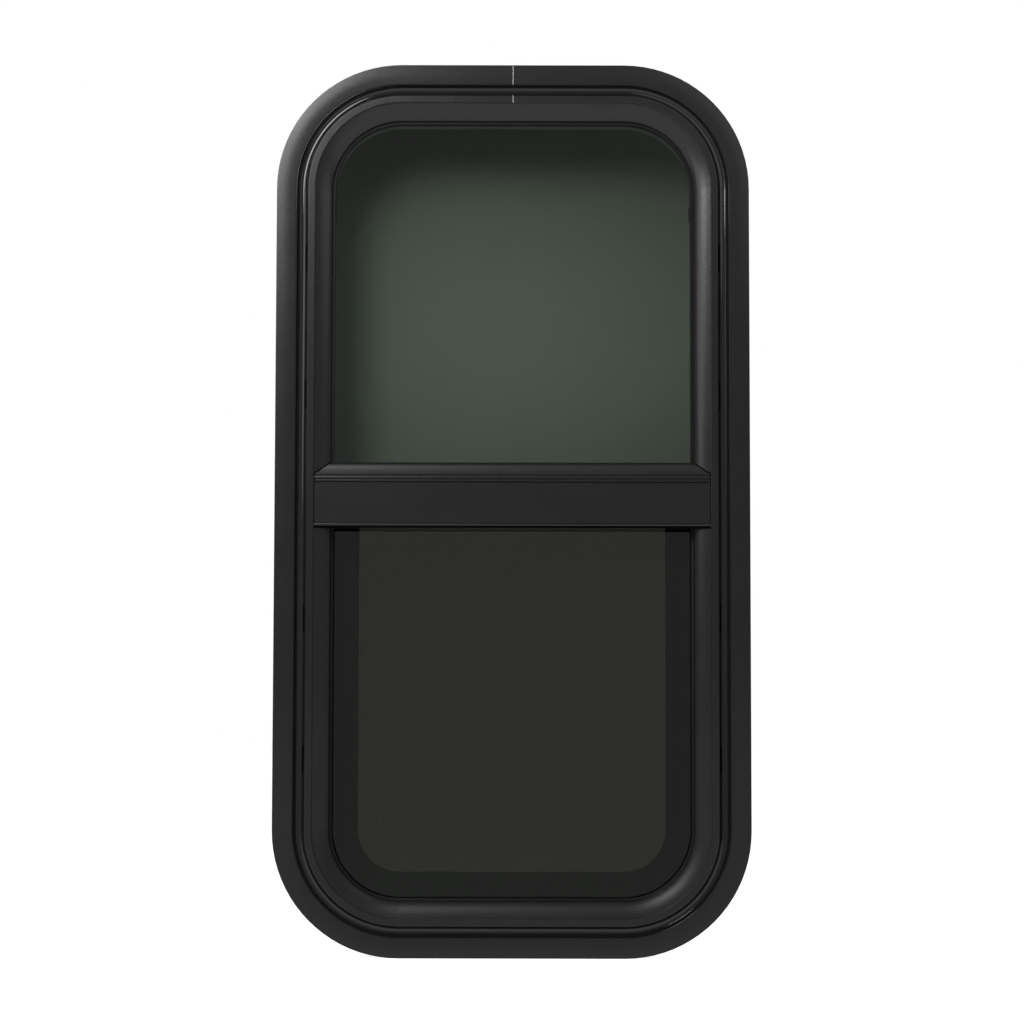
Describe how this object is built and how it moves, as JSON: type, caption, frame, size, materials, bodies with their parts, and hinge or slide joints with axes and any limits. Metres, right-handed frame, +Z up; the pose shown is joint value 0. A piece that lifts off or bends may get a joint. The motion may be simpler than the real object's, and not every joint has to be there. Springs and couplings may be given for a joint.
{
  "type": "caravan window",
  "caption": "Black clamp-ring caravan window with round corners: a fixed tinted pane above a meeting rail and a sliding sash with a fly screen below.",
  "frame": {"origin": "on the flat back of the outer flange, on the wall's outer skin, at the middle of the lower edge of the wall cut-out", "axes": "+Z up the window, +X to the right seen from outside, +Y through the wall into the room"},
  "size_m": [0.4318, 0.0526, 0.8128],
  "materials": {
    "frame_paint": "black powder coat with a fine texture",
    "ring_paint": "black powder coat",
    "sash_paint": "black powder coat",
    "screen_paint": "black paint on a drawn frame",
    "bare_metal": "mill finish",
    "tinted_glass": "grey-green privacy tint, polished",
    "rubber": "matt black",
    "pile": "woven pile",
    "run_lining": "flocked lining",
    "latch_plastic": "satin moulded nylon",
    "mesh": "coated glass-fibre mesh",
    "black_screw": "black oxide"
  },
  "bodies": {
    "root": {"outer_frame": "frame_paint", "frame_joint_key": "bare_metal", "fixed_glass": "tinted_glass", "fixed_glass_gasket": "rubber", "rail_glass_gasket": "rubber", "setting_blocks": "rubber", "meeting_rail": "frame_paint", "rail_screws": "black_screw", "sash_glass": "tinted_glass", "sash_top_rail": "sash_paint", "sash_pile_seal": "pile", "sash_latch_left": "latch_plastic", "sash_latch_right": "latch_plastic", "sash_pull": "latch_plastic", "sash_run_left": "run_lining", "sash_run_right": "run_lining", "sash_sill_seal": "run_lining", "sash_stops": "latch_plastic", "screen_frame": "screen_paint", "screen_mesh": "mesh", "screen_spline": "rubber", "screen_pull_tabs": "latch_plastic", "clamp_ring": "ring_paint", "clamp_screws": "black_screw"}
  },
  "joints": []
}
